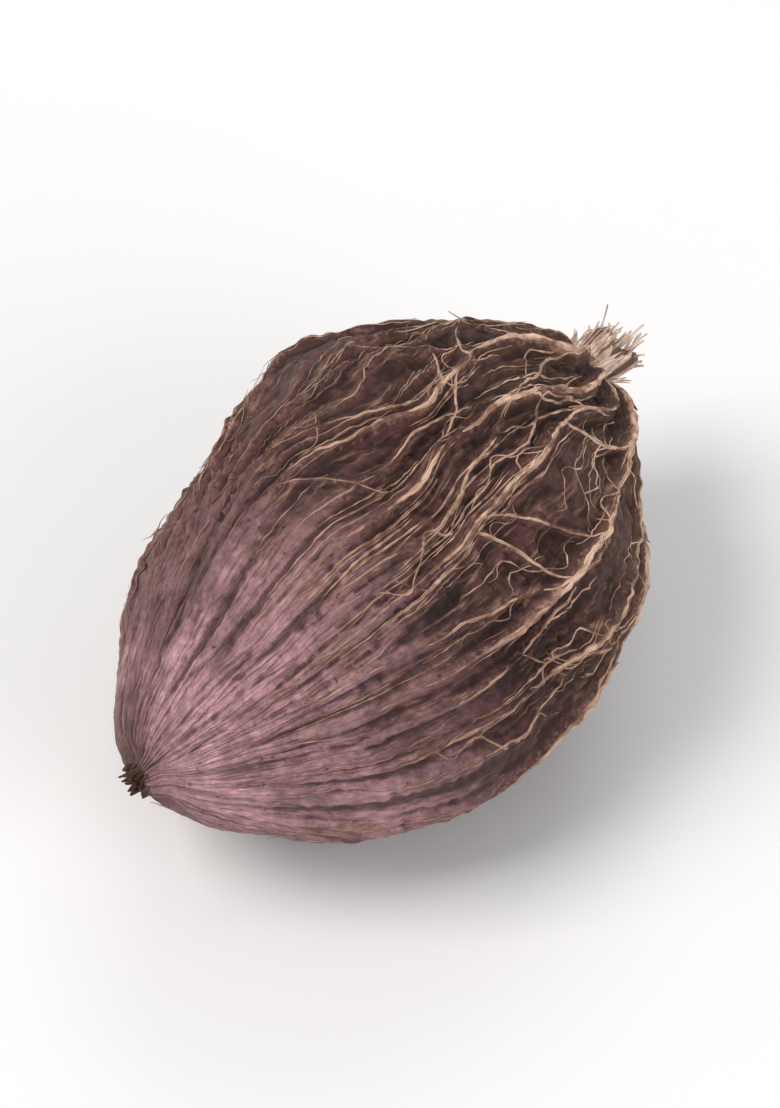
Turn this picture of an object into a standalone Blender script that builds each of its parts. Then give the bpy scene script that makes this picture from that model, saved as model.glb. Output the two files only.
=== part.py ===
"""A dried black cardamom pod, lying on its side: a three-lobed egg of husk with wavy lengthwise ribs that
fork and link into a raised net towards the stalk, the broken stub of that stalk, and the scar of the withered
flower.

The pod's axis runs along X, stalk towards +X. It rests on the plane z = 0, with the middle of its box over
the origin. The husk, its ribs, the stub and the scar grew as one piece, so they are one solid. Angles round
the axis start at +Y and turn towards +Z. "Along" is a share of the body's length, 0 at the scar and 1 at the
stalk."""

import bmesh
import bpy
import numpy as np

# Driving dimensions, in metres
BODY_LENGTH = 0.0199
BODY_WIDTH = 0.0127
BODY_HEIGHT = 0.0121
STUB_RADIUS = 0.00072
STUB_LENGTH = 0.0013
REST_DEPTH = 0.00566  # from the pod's axis down to the flat spot that it rests on

# The egg's outline
TIP_PINCH = 0.71  # how much the stalk end draws in to a point
TIP_PINCH_FROM = 0.25  # where that begins, as a share of the half length
BLUNT_PINCH = 0.34
BELLY_BEND = 0.00065  # the axis bows this far towards -Y, nearer the blunt end
BELLY_BEND_SKEW = 0.70
BELLY_SWAY = 0.0002  # and this far to and fro, once over the pod's length
TIP_RISE = 0.0005
LOBE = 0.030  # how far the three lobes stand out, as a share of the radius
SHOULDER = 0.12  # how far the shoulder beside the stalk stands out, as a share of the radius
SHOULDER_PLACE = 0.69
SHOULDER_SPREAD = 0.18
SHOULDER_TURN = np.radians(35.0)
STUB_FLARE = 0.18
STUB_CAP = 0.0003
STUB_BLEND = 4.0  # the power that blends the body's radius into the stub's

# Ribs. Those of the upper side have an angle in degrees at each of the bend places along, and a strength.
SEED = 11
BEND_PLACES = (0.10, 0.25, 0.40, 0.50, 0.60, 0.70, 0.80, 0.90)
UPPER_RIBS = (
    ((40, 36, 32, 29, 28, 31, 38, 47), 0.80),
    ((55, 51, 51, 55, 60, 62, 64, 77), 0.75),
    ((70, 66, 70, 83, 93, 89, 87, 107), 1.15),
    ((97, 99, 101, 105, 102, 107, 113, 127), 1.10),
    ((122, 121, 122, 123, 123, 122, 124, 142), 0.85),
    ((140, 144, 148, 151, 153, 152, 153, 158), 1.15),
    ((163, 166, 169, 171, 173, 177, 185, 189), 0.95),
)
LOWER_RIBS = 10  # spread evenly over the rest of the way round
LOWER_RIBS_FROM = 176.0
LOWER_RIBS_TO = 393.0
RIB_COUNT = len(UPPER_RIBS) + LOWER_RIBS
RIB_SPACING = 2.0 * np.pi / RIB_COUNT
RIB_HEIGHT = 0.00048
RIB_WIDTH = 0.00021
RIB_SWELL = 0.00016  # the broad welt that carries each rib
SWELL_WIDTH = 3.2  # in rib widths
CREST_POWER = 3.0  # how strands merge where they meet
STRAND_CROWDING = 0.17  # a strand's greatest width, as a share of the spacing between ribs
BLUNT_HEIGHT = 0.55  # a rib's height in the blunt half, as a share of its height towards the stalk

# Forks and links of the net
FORK_COUNT = 34
FORK_HEIGHT = 0.00029
LINK_COUNT = 26
LINK_HEIGHT = 0.00028

# Hollows of the shrunken skin
DENT_DEPTH = 0.00040
RIPPLE_DEPTH = 0.00016
REST_CALM = 0.85  # how much of the relief is pressed out where the pod rests
REST_CALM_ALONG = 0.0042
REST_CALM_ACROSS = 0.0030

# Flower scar and torn end of the stub
SCAR_DIMPLE = 0.00055
SCAR_DIMPLE_RADIUS = 0.0014
SCAR_NUB = 0.00055
SCAR_NUB_RADIUS = 0.00056
SCAR_PIT = 0.4  # the pit in the nub, as a share of its height
STUB_RECESS = 0.00045
STUB_RECESS_RADIUS = 0.00045
STUB_RAGGEDNESS = 0.00048

# Grid before decimation, and the faces kept
ROWS = 260
COLUMNS = 300
OUTLINE_SAMPLES = 4000
KEPT_TRIANGLES = 11000

HUSK_COLOUR = (0.118, 0.060, 0.054, 1.0)
HUSK_ROUGHNESS = 0.72


def smooth(x, low, high):
    """0 below low, 1 above high, with a smooth rise between them."""
    share = np.clip((x - low) / (high - low), 0.0, 1.0)
    return share * share * (3.0 - 2.0 * share)


def curve_through(along, places, values):
    """A smooth curve that takes the values at the places, and keeps the first and last value beyond them."""
    places = np.array(places, float)
    values = np.array(values, float)
    slopes = np.gradient(values, places)
    i = np.clip(np.searchsorted(places, along) - 1, 0, len(places) - 2)
    span = places[i + 1] - places[i]
    t = np.clip((along - places[i]) / span, 0.0, 1.0)
    from_values = values[i] * (1.0 + 2.0 * t) * (1.0 - t) ** 2 + values[i + 1] * t * t * (3.0 - 2.0 * t)
    from_slopes = slopes[i] * t * (1.0 - t) ** 2 + slopes[i + 1] * t * t * (t - 1.0)
    return from_values + span * from_slopes


def skin_noise(along, angle, cells_along, cells_round, seed):
    """Smooth random hills from -1 to 1: a lattice of seeded numbers over the pod's length and round its
    axis, blended between its points, and closed where the angle comes full circle."""
    lattice = np.random.default_rng(seed).uniform(-1.0, 1.0, (cells_along + 2, cells_round))
    p = np.clip(along, 0.0, 1.0) * cells_along
    q = np.mod(angle / (2.0 * np.pi), 1.0) * cells_round
    i = np.floor(p).astype(int)
    j = np.floor(q).astype(int) % cells_round
    next_j = (j + 1) % cells_round
    fp = smooth(p - i, 0.0, 1.0)
    fq = smooth(q - np.floor(q), 0.0, 1.0)
    near = lattice[i, j] * (1.0 - fq) + lattice[i, next_j] * fq
    far = lattice[i + 1, j] * (1.0 - fq) + lattice[i + 1, next_j] * fq
    return near * (1.0 - fp) + far * fp


def egg_radius(x):
    """The body's radius as a share of its greatest, at x along the axis: an ellipse drawn in at both ends."""
    c = np.clip(2.0 * x / BODY_LENGTH, -1.0, 1.0)
    pinch = TIP_PINCH * np.clip(c - TIP_PINCH_FROM, 0.0, None) ** 2
    return np.sqrt(1.0 - c * c) * (1.0 - pinch - BLUNT_PINCH * np.clip(-c, 0.0, None) ** 2)


def stub_radius(x):
    """The stub's radius at x along the axis: a rod that starts inside the body and ends in a rounded cap."""
    end = BODY_LENGTH / 2 + STUB_LENGTH
    into_cap = np.clip((x - (end - STUB_CAP)) / STUB_CAP, 0.0, 1.0)
    flare = 1.0 + STUB_FLARE * smooth(x, end - 0.7 * STUB_LENGTH, end)
    return STUB_RADIUS * flare * np.sqrt(1.0 - into_cap**2) * smooth(x, 0.0, BODY_LENGTH / 2)


def outline(rows):
    """x along the axis, the egg's share of the radius, the stub's radius, the blended radius and the share of
    the stub in it, at rows evenly spaced along the outline from the flower scar to the end of the stub."""
    end = BODY_LENGTH / 2 + STUB_LENGTH
    turn = np.linspace(np.pi, 0.0, OUTLINE_SAMPLES)
    middle = (end - BODY_LENGTH / 2) / 2
    x = middle + (end + BODY_LENGTH / 2) / 2 * np.cos(turn)
    body = egg_radius(x) * BODY_WIDTH / 2
    radius = (body**STUB_BLEND + stub_radius(x) ** STUB_BLEND) ** (1.0 / STUB_BLEND)
    travelled = np.concatenate([[0.0], np.cumsum(np.hypot(np.diff(x), np.diff(radius)))])
    x = np.interp(np.linspace(0.0, travelled[-1], rows), travelled, x)
    egg = egg_radius(x)
    stub = stub_radius(x)
    body = egg * BODY_WIDTH / 2
    total = body**STUB_BLEND + stub**STUB_BLEND
    share = np.where(total > 0.0, stub**STUB_BLEND / np.maximum(total, 1e-30), x > 0.0)
    return x, egg, stub, total ** (1.0 / STUB_BLEND), share


def wave(rng, along, slowest, fastest):
    """A sine along the pod, with a random phase and a random number of waves in its length."""
    return np.sin(2.0 * np.pi * (rng.uniform(slowest, fastest) * along + rng.uniform()))


def wander(rng, along, slow, kinks):
    """A strand's sideways wander in radians: one slow wave, and short kinks that grow towards the stalk."""
    growth = 0.3 + 0.7 * smooth(along, 0.40, 0.85)
    drift = slow * wave(rng, along, 0.7, 1.3)
    return drift + kinks * growth * (wave(rng, along, 3.0, 5.0) + 0.45 * wave(rng, along, 7.0, 11.0))


def rib_strands(rng, along):
    """The ribs from scar to stalk: those of the upper side through their bends, the others spread evenly."""
    found = []
    for bends, strength in UPPER_RIBS:
        path = np.radians(curve_through(along, BEND_PLACES, bends)) + wander(rng, along, 0.0, 0.028)
        found.append((path, RIB_HEIGHT * strength))
    for angle in np.linspace(LOWER_RIBS_FROM, LOWER_RIBS_TO, LOWER_RIBS + 2)[1:-1]:
        path = np.radians(angle) + RIB_SPACING * rng.uniform(-0.16, 0.16) + wander(rng, along, 0.05, 0.038)
        found.append((path, RIB_HEIGHT * rng.uniform(0.75, 1.1)))
    rise = smooth(along, 0.01, 0.22) * (BLUNT_HEIGHT + (1.0 - BLUNT_HEIGHT) * smooth(along, 0.25, 0.62))
    ribs = []
    for path, height in found:
        swelling = 0.84 + 0.16 * wave(rng, along, 2.5, 5.0)
        ribs.append((path, height * rise * swelling, RIB_WIDTH * rng.uniform(0.85, 1.2)))
    return ribs


def fork_strands(rng, along, ribs):
    """Strands that leave a rib, run beside it towards the blunt end, and fade out there."""
    found = []
    for i in range(FORK_COUNT):
        leaves = rng.uniform(0.50, 0.88)
        fades = rng.uniform(0.04, 0.25)
        apart = rng.choice([-1.0, 1.0]) * RIB_SPACING * rng.uniform(0.36, 0.58)
        path = ribs[i % RIB_COUNT][0] + apart * (1.0 - smooth(along, leaves - 0.30, leaves))
        height = FORK_HEIGHT * rng.uniform(0.6, 1.1) * smooth(along, fades, fades + 0.15)
        height = height * (1.0 - smooth(along, leaves, leaves + 0.04))
        found.append((path + wander(rng, along, 0.05, 0.030), height, RIB_WIDTH * 0.8))
    return found


def link_strands(rng, along, ribs):
    """Strands that cross from one rib to the next, leaving and meeting them at a slant."""
    found = []
    for _ in range(LINK_COUNT):
        first = rng.integers(RIB_COUNT)
        second = (first + rng.choice([-1, 1])) % RIB_COUNT
        begins = rng.uniform(0.30, 0.76)
        ends = begins + rng.uniform(0.10, 0.22)
        gap = np.mod(ribs[second][0] - ribs[first][0] + np.pi, 2.0 * np.pi) - np.pi
        path = ribs[first][0] + gap * smooth(along, begins, ends) + wander(rng, along, 0.0, 0.035)
        height = LINK_HEIGHT * rng.uniform(0.6, 1.1) * smooth(along, begins - 0.02, begins + 0.01)
        height = height * (1.0 - smooth(along, ends - 0.01, ends + 0.02))
        found.append((path, height, RIB_WIDTH * 0.75))
    return found


def net_strands(along):
    """The ribs, their forks and the links of the net. Each is its angle round the axis at every row, its
    height there and its width."""
    rng = np.random.default_rng(SEED)
    ribs = rib_strands(rng, along)
    return ribs + fork_strands(rng, along, ribs) + link_strands(rng, along, ribs)


def strand_relief(x, radius, angle):
    """The height of the ribs and their net over the husk. A strand's section is a narrow crest with hollow
    sides over a broad low welt, and where strands meet the higher one carries on."""
    along = np.clip(x / BODY_LENGTH + 0.5, 0.0, 1.0)
    stretch = np.maximum(np.gradient(x) ** 2 + np.gradient(radius) ** 2, 1e-16) ** 0.5
    crest = np.zeros((len(x), len(angle)))
    welt = np.zeros_like(crest)
    widest = STRAND_CROWDING * RIB_SPACING * radius + 1e-5
    crowded = np.minimum(1.0, 0.35 + radius / 0.0030)
    for path, height, width in net_strands(along):
        slant = radius * np.gradient(path) / stretch
        sideways = np.mod(angle[None, :] - path[:, None] + np.pi, 2.0 * np.pi) - np.pi
        distance = sideways * (radius / np.hypot(1.0, slant))[:, None]
        narrow = np.minimum(width, widest)[:, None]
        height = (height * crowded)[:, None]
        crest += (height / (1.0 + (distance / narrow) ** 2) ** 1.4) ** CREST_POWER
        spread = np.exp(-((distance / (SWELL_WIDTH * narrow)) ** 2))
        welt = np.maximum(welt, height / RIB_HEIGHT * spread)
    return crest ** (1.0 / CREST_POWER) + RIB_SWELL * welt


def base_surface(x, egg, stub, angle):
    """The smooth pod: a three-lobed oval section carried along a bent axis and drawn in to the round stub, with
    a shoulder that bulges to one side of the stalk."""
    along = np.clip(x / BODY_LENGTH + 0.5, 0.0, 1.0)
    oval = 1.0 / np.hypot(2.0 * np.cos(angle) / BODY_WIDTH, 2.0 * np.sin(angle) / BODY_HEIGHT)
    lobes = 1.0 + LOBE * np.outer(smooth(along, 0.0, 0.3), np.cos(3.0 * (angle - np.pi / 2)))
    bulge = SHOULDER * np.exp(-(((along - SHOULDER_PLACE) / SHOULDER_SPREAD) ** 2))
    facing = np.clip(np.cos(angle - SHOULDER_TURN), 0.0, 1.0)
    section = egg[:, None] * oval[None, :] * (lobes + np.outer(bulge, facing**2))
    radius = (section**STUB_BLEND + stub[:, None] ** STUB_BLEND) ** (1.0 / STUB_BLEND)
    side = -BELLY_BEND * np.sin(np.pi * along**BELLY_BEND_SKEW) - BELLY_SWAY * np.sin(2.0 * np.pi * along)
    lift = TIP_RISE * along**3
    return np.stack(
        [
            np.broadcast_to(x[:, None], radius.shape),
            radius * np.cos(angle)[None, :] + side[:, None],
            radius * np.sin(angle)[None, :] + lift[:, None],
        ],
        axis=-1,
    )


def outward(points):
    """Unit normals of a grid of points whose columns close round the axis. They face out, and at the end rows
    along the axis."""
    down = np.gradient(points, axis=0)
    wrapped = np.concatenate([points[:, -1:], points, points[:, :1]], axis=1)
    across = (wrapped[:, 2:] - wrapped[:, :-2]) / 2.0
    normal = np.cross(across, down)
    normal[0] = (-1.0, 0.0, 0.0)
    normal[-1] = (1.0, 0.0, 0.0)
    return normal / np.linalg.norm(normal, axis=-1, keepdims=True)


def rest_spot(points):
    """1 on the underside where the pod rests, falling smoothly to 0 round it."""
    along = points[..., 0] / REST_CALM_ALONG
    across = (points[..., 1] + BELLY_BEND) / REST_CALM_ACROSS
    return np.exp(-(along**2) - across**2) * (points[..., 2] < 0.0)


def end_forms(x, radius, angle):
    """How far the two ends move along X: the flower scar's dimple and pitted nub, and the stub's torn, hollow
    end."""
    torn = skin_noise(np.full(angle.shape, 0.5), angle, 2, 9, SEED + 5)[None, :]
    radius = radius[:, None]
    across_nub = radius / (SCAR_NUB_RADIUS * (1.0 + 0.35 * torn))
    nub = SCAR_NUB * (np.exp(-(across_nub**4)) - SCAR_PIT * np.exp(-((2.2 * across_nub) ** 2)))
    dimple = SCAR_DIMPLE * np.exp(-((radius / SCAR_DIMPLE_RADIUS) ** 2))
    end = BODY_LENGTH / 2 + STUB_LENGTH
    rim = smooth(x, end - 0.5 * STUB_LENGTH, end)[:, None] * smooth(radius, 0.0, 0.5 * STUB_RADIUS)
    recess = STUB_RECESS * np.exp(-((radius / STUB_RECESS_RADIUS) ** 4)) * (x > BODY_LENGTH / 2)[:, None]
    return np.where((x < 0.0)[:, None], dimple - nub, STUB_RAGGEDNESS * rim * torn - recess)


def pod_surface(rows, columns):
    """The pod's skin as a grid of points from the scar to the stub. The plane z = 0 is where it rests, and a
    little of its belly reaches below that."""
    x, egg, stub, radius, share = outline(rows)
    angle = np.linspace(0.0, 2.0 * np.pi, columns, endpoint=False)
    along = np.clip(x / BODY_LENGTH + 0.5, 0.0, 1.0)[:, None]
    points = base_surface(x, egg, stub, angle)
    fullness = smooth(radius, 0.0, 0.4 * BODY_WIDTH)[:, None] * (1.0 - share[:, None])
    dents = DENT_DEPTH * skin_noise(along, angle[None, :], 4, 6, SEED + 1)
    ripples = RIPPLE_DEPTH * skin_noise(along, angle[None, :], 11, 15, SEED + 2)
    relief = (dents + ripples) * fullness
    relief += strand_relief(x, radius, angle) * (1.0 - 0.6 * share[:, None])
    relief *= smooth(radius, 0.0, 2.0 * STUB_RADIUS)[:, None] * (1.0 - REST_CALM * rest_spot(points))
    points = points + outward(points) * relief[..., None]
    points[..., 0] += end_forms(x, radius, angle)
    middle = (points.min(axis=(0, 1)) + points.max(axis=(0, 1))) / 2.0
    return points - (middle[0], middle[1], -REST_DEPTH)


def closed_mesh(name, grid):
    """A mesh from a grid of points: quads between the rows and a fan of triangles at each pole."""
    rows, columns = grid.shape[:2]
    poles = np.array([grid[0].mean(axis=0), grid[-1].mean(axis=0)])
    ring = grid[1:-1].reshape(-1, 3)
    index = np.arange(len(ring)).reshape(rows - 2, columns)
    beside = np.roll(index, -1, axis=1)
    quads = np.stack([index[:-1], index[1:], beside[1:], beside[:-1]], axis=-1).reshape(-1, 4)
    first = np.stack([np.full(columns, len(ring)), index[0], beside[0]], axis=-1)
    last = np.stack([np.full(columns, len(ring) + 1), beside[-1], index[-1]], axis=-1)
    mesh = bpy.data.meshes.new(name)
    faces = quads.tolist() + first.tolist() + last.tolist()
    mesh.from_pydata(np.concatenate([ring, poles]).tolist(), [], faces)
    return mesh


def thinned(mesh):
    """The mesh with only as many faces as are kept: most of them where the ribs and the net need them."""
    holder = bpy.data.objects.new("fine_pod", mesh)
    bpy.context.scene.collection.objects.link(holder)
    triangles = sum(len(face.vertices) - 2 for face in mesh.polygons)
    thin = holder.modifiers.new("Decimate", "DECIMATE")
    thin.decimate_type = "COLLAPSE"
    thin.ratio = KEPT_TRIANGLES / triangles
    evaluated = holder.evaluated_get(bpy.context.evaluated_depsgraph_get())
    kept = bpy.data.meshes.new_from_object(evaluated)
    bpy.data.objects.remove(holder)
    return kept


def joined_faces(start):
    """The face and every face that is joined to it, edge by edge."""
    found = {start}
    waiting = [start]
    while waiting:
        for edge in waiting.pop().edges:
            beside = [face for face in edge.link_faces if face not in found]
            found.update(beside)
            waiting.extend(beside)
    return found


def cut_flat_spot(mesh):
    """Takes off what reaches below z = 0 and closes the cut with flat faces, which also close off the small
    hollows inside it. Turns every face outwards."""
    form = bmesh.new()
    form.from_mesh(mesh)
    everything = form.verts[:] + form.edges[:] + form.faces[:]
    bmesh.ops.bisect_plane(form, geom=everything, plane_co=(0, 0, 0), plane_no=(0, 0, -1), clear_outer=True)
    rim = [edge for edge in form.edges if edge.is_boundary]
    bmesh.ops.holes_fill(form, edges=rim)
    skin = joined_faces(max(form.faces, key=lambda face: face.calc_center_median().z))
    closed_off = [face for face in form.faces if face not in skin]
    bmesh.ops.delete(form, geom=closed_off, context="FACES")
    bmesh.ops.recalc_face_normals(form, faces=form.faces)
    form.to_mesh(mesh)
    form.free()


def husk_material():
    """Dull brown husk with a reddish cast."""
    material = bpy.data.materials.new("husk")
    material.use_nodes = True
    shader = material.node_tree.nodes["Principled BSDF"]
    shader.inputs["Base Color"].default_value = HUSK_COLOUR
    shader.inputs["Roughness"].default_value = HUSK_ROUGHNESS
    shader.inputs["Metallic"].default_value = 0.0
    return material


def build_pod():
    """The whole pod as one object."""
    mesh = thinned(closed_mesh("fine_pod", pod_surface(ROWS, COLUMNS)))
    cut_flat_spot(mesh)
    mesh.name = "pod"
    mesh.materials.append(husk_material())
    mesh.shade_smooth()
    pod = bpy.data.objects.new("pod", mesh)
    bpy.context.scene.collection.objects.link(pod)


def main():
    for old in list(bpy.data.objects):
        bpy.data.objects.remove(old)
    build_pod()


main()
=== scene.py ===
"""The looks of a dried black cardamom pod: its ribbed husk as one fine surface, the pale cords that show
along the ribs and the net, the torn fibres of the stalk and the papery scraps at its foot, the withered
remains of the flower, and the loose scales and hairs of the skin.

Lengths are in metres. Angles round the pod's axis start at +Y and turn towards +Z. "Along" is a share of the
body's length, 0 at the flower scar and 1 at the stalk."""

import math

import bpy
import numpy as np
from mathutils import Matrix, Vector


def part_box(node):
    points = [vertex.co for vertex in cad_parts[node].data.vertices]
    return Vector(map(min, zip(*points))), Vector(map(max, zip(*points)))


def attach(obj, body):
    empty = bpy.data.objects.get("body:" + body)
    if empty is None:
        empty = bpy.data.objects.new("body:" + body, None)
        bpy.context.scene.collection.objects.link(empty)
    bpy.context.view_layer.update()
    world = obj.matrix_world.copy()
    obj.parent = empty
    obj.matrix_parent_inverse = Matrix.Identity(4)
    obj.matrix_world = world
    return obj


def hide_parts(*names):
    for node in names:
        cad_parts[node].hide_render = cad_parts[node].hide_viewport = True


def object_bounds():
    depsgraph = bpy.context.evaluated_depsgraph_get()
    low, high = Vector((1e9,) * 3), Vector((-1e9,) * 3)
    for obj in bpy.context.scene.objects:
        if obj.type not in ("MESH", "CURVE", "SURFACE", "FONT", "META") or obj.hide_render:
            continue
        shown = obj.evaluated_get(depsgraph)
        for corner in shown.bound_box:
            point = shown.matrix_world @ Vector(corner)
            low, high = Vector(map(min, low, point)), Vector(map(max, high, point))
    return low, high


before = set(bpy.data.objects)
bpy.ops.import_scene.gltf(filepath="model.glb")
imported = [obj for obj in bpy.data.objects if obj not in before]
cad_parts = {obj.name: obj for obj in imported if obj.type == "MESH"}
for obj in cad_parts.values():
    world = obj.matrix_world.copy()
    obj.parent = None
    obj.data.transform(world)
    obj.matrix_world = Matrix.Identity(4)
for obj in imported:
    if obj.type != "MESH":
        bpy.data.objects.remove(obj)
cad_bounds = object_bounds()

# The pod's form, as the solid has it
BODY_LENGTH = 0.0199
BODY_WIDTH = 0.0127
BODY_HEIGHT = 0.0121
STUB_RADIUS = 0.00072
STUB_LENGTH = 0.0013
STUB_END = BODY_LENGTH / 2 + STUB_LENGTH
REST_DEPTH = 0.00566  # from the pod's axis down to the flat spot that it rests on
TIP_PINCH = 0.71  # how much the stalk end draws in to a point
TIP_PINCH_FROM = 0.25  # where that begins, as a share of the half length
BLUNT_PINCH = 0.34
BELLY_BEND = 0.00065  # the axis bows this far towards -Y, nearer the blunt end
BELLY_BEND_SKEW = 0.70
BELLY_SWAY = 0.0002  # and this far to and fro, once over the pod's length
TIP_RISE = 0.0005
LOBE = 0.030  # how far the three lobes stand out, as a share of the radius
SHOULDER = 0.12  # how far the shoulder beside the stalk stands out, as a share of the radius
SHOULDER_PLACE = 0.69
SHOULDER_SPREAD = 0.18
SHOULDER_TURN = np.radians(35.0)
STUB_FLARE = 0.18
STUB_CAP = 0.0003
STUB_BLEND = 4.0  # the power that blends the body's radius into the stub's
SEED = 11
BEND_PLACES = (0.10, 0.25, 0.40, 0.50, 0.60, 0.70, 0.80, 0.90)
UPPER_RIBS = (
    ((40, 36, 32, 29, 28, 31, 38, 47), 0.80),
    ((55, 51, 51, 55, 60, 62, 64, 77), 0.75),
    ((70, 66, 70, 83, 93, 89, 87, 107), 1.15),
    ((97, 99, 101, 105, 102, 107, 113, 127), 1.10),
    ((122, 121, 122, 123, 123, 122, 124, 142), 0.85),
    ((140, 144, 148, 151, 153, 152, 153, 158), 1.15),
    ((163, 166, 169, 171, 173, 177, 185, 189), 0.95),
)
LOWER_RIBS = 10  # spread evenly over the rest of the way round
LOWER_RIBS_FROM = 176.0
LOWER_RIBS_TO = 393.0
RIB_COUNT = len(UPPER_RIBS) + LOWER_RIBS
RIB_SPACING = 2.0 * np.pi / RIB_COUNT
RIB_HEIGHT = 0.00048
RIB_WIDTH = 0.00021
RIB_SWELL = 0.00016  # the broad welt that carries each rib
SWELL_WIDTH = 3.2  # in rib widths
CREST_POWER = 3.0  # how strands merge where they meet
STRAND_CROWDING = 0.17  # a strand's greatest width, as a share of the spacing between ribs
BLUNT_HEIGHT = 0.55  # a rib's height in the blunt half, as a share of its height towards the stalk
FORK_COUNT = 34
FORK_HEIGHT = 0.00029
LINK_COUNT = 26
LINK_HEIGHT = 0.00028
DENT_DEPTH = 0.00040
RIPPLE_DEPTH = 0.00016
REST_CALM = 0.85  # how much of the relief is pressed out where the pod rests
REST_CALM_ALONG = 0.0042
REST_CALM_ACROSS = 0.0030
SCAR_DIMPLE = 0.00055
SCAR_DIMPLE_RADIUS = 0.0014
SCAR_NUB = 0.00055
SCAR_NUB_RADIUS = 0.00056
SCAR_PIT = 0.4  # the pit in the nub, as a share of its height
STUB_RECESS = 0.00045
STUB_RECESS_RADIUS = 0.00045
STUB_RAGGEDNESS = 0.00048

# The fine surface's grid, whose columns run with the ribs
ROWS = 300
COLUMNS = 330
OUTLINE_SAMPLES = 4000
LEAST_RIB_GAP = 0.10  # in radians
COLUMN_CROWDING = 0.45  # how much closer the columns lie at a rib

# Fine relief of the skin. Cells are the numbers of a pattern's hills along the pod and round it.
STRIATION_HEIGHT = 0.000085
STRIATION_CELLS = (7, 92)
FINE_STRIATION_CELLS = (12, 150)
WRINKLE_DEPTH = 0.000095
WRINKLE_CELLS = (74, 44)
CROSSING_WRINKLE_CELLS = (46, 72)
WRINKLE_PATCH_CELLS = (9, 14)
PEBBLE_HEIGHT = 0.000030
PEBBLE_CELLS = (120, 150)
DENT_CELLS = (4, 6)
RIPPLE_CELLS = (11, 15)
GROOVE_DEPTH = 0.000085  # of the furrow that runs along the foot of each strand
GROOVE_CREST = 0.17  # the share of a strand's height at which that furrow lies
GROOVE_SPREAD = 0.10
CREST_NICKS = 0.12  # how much a rib's height varies along it, as a share
NICK_CELLS = (90, 40)
CREST_SHARPNESS = 0.35  # how much lower a rib's flanks lie than the solid's
PLAIN_SIDE = np.radians(52.0)  # the angle at which the husk is plainest, with few pale cords
PLAIN_SPREAD = np.radians(32.0)
PLAIN_SHARE = 0.75
CREST_PLAINNESS = 0.6  # the part of that share that the crests' pale paint lacks
HOLLOW_REACHES = ((2, 0.7), (7, 0.3))  # columns that a hollow is measured across, and their weights
HOLLOW_DEPTH = 0.15  # of a full hollow, as a share of a rib's height

# Colours of the husk, as sRGB from 0 to 255
SKIN_DARK = (58, 30, 26)
SKIN_MIDDLE = (88, 53, 49)
SKIN_LIGHT = (132, 88, 83)
TIP_OLIVE = (94, 66, 45)
# The husk's own mauve, made paler in part by a painted reflection of haze over the blunt end
BLUNT_MAUVE_AND_PAINTED_HAZE = (228, 175, 182)
CREST_STRAW = (206, 158, 134)
DUST_GREY = (150, 120, 110)
# Dark brown laid as painted shade in the furrows between the ribs, and also on the dark pits
FURROW_SHADE_AND_PIT_BROWN = (32, 14, 9)
FIBRE_STRAW = (232, 194, 166)
FIBRE_BROWN = (148, 106, 84)
FIBRE_BLEACHED = (246, 222, 200)
STUB_TAN = (178, 136, 112)
PAPER_TAN = (178, 140, 118)
SCAR_BROWN = (124, 90, 70)
FLOOR_WHITE = (238, 237, 235)

# The most that each colour covers of the skin under it
OLIVE_COVER = 0.70
LIGHT_COVER = 0.50
# The most that the furrows' painted shade covers
FURROW_SHADE_COVER = 0.70
VEIN_COVER = 0.40
DUST_COVER = 0.60
STUB_COVER = 0.85
PIT_COVER = 0.55

# Patterns: their scale in a metre or in one step of the grain, detail and roughness
PATCHES = (140.0, 3.0, 0.5)
MOTTLE = (330.0, 6.0, 0.66)
FIBRE_PATCHES = (1300.0, 4.0, 0.65)
GRIT = (2400.0, 4.0, 0.7)
CRUMPLES = (3000.0, 5.0, 0.62)
PITS = (4800.0, 3.0, 0.6)
SPECKLE = (5200.0, 4.0, 0.65)
LIGHT_STREAKS = (1.0, 6.0, 0.68)
STREAKS = (1.4, 6.0, 0.70)
WEAR = (1.6, 6.0, 0.75)
FINE_STREAKS = (2.6, 5.0, 0.65)
FIBRE_STREAKS = (1.0, 3.0, 0.6)
VEIN_SCALE = 0.62
SHORT_GRAIN = (1.0, 1.0, 3.2)

# Relief in the shading: the husk's is of its streaks, veins, fine streaks, crumples and pits
HUSK_BUMPS = (0.00008, 0.00004, 0.00006, 0.00005, -0.00004)
FIBRE_BUMP = 0.00004
DRY_SPECULAR = 0.30
SPECKLE_DULLNESS = 0.18

# The view of the photograph
VIEW_AZIMUTH = -48.5
VIEW_ELEVATION = 52.0
CAMERA_DISTANCE = 0.40
FRAME_HEIGHT = 0.0325  # of the world, at the pod
SENSOR_SIZE = 36.0


def smooth(x, low, high):
    """0 below low, 1 above high, with a smooth rise between them."""
    share = np.clip((x - low) / (high - low), 0.0, 1.0)
    return share * share * (3.0 - 2.0 * share)


def half_turn(angle):
    """The same angle brought between minus pi and pi."""
    return np.mod(angle + np.pi, 2.0 * np.pi) - np.pi


def unit(vectors):
    """The same vectors with a length of one."""
    return vectors / np.maximum(np.linalg.norm(vectors, axis=-1, keepdims=True), 1e-20)


def share_along(x):
    """Where x along the axis lies on the body, from 0 at the flower scar to 1 at the stalk."""
    return np.clip(x / BODY_LENGTH + 0.5, 0.0, 1.0)


def curve_through(along, places, values):
    """A cubic through the values at the places, whose slope at each is the mean of those on its two sides."""
    places = np.array(places, float)
    values = np.array(values, float)
    slopes = np.gradient(values, places)
    i = np.clip(np.searchsorted(places, along) - 1, 0, len(places) - 2)
    span = places[i + 1] - places[i]
    t = np.clip((along - places[i]) / span, 0.0, 1.0)
    from_values = values[i] * (1.0 + 2.0 * t) * (1.0 - t) ** 2 + values[i + 1] * t * t * (3.0 - 2.0 * t)
    from_slopes = slopes[i] * t * (1.0 - t) ** 2 + slopes[i + 1] * t * t * (t - 1.0)
    return from_values + span * from_slopes


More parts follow.
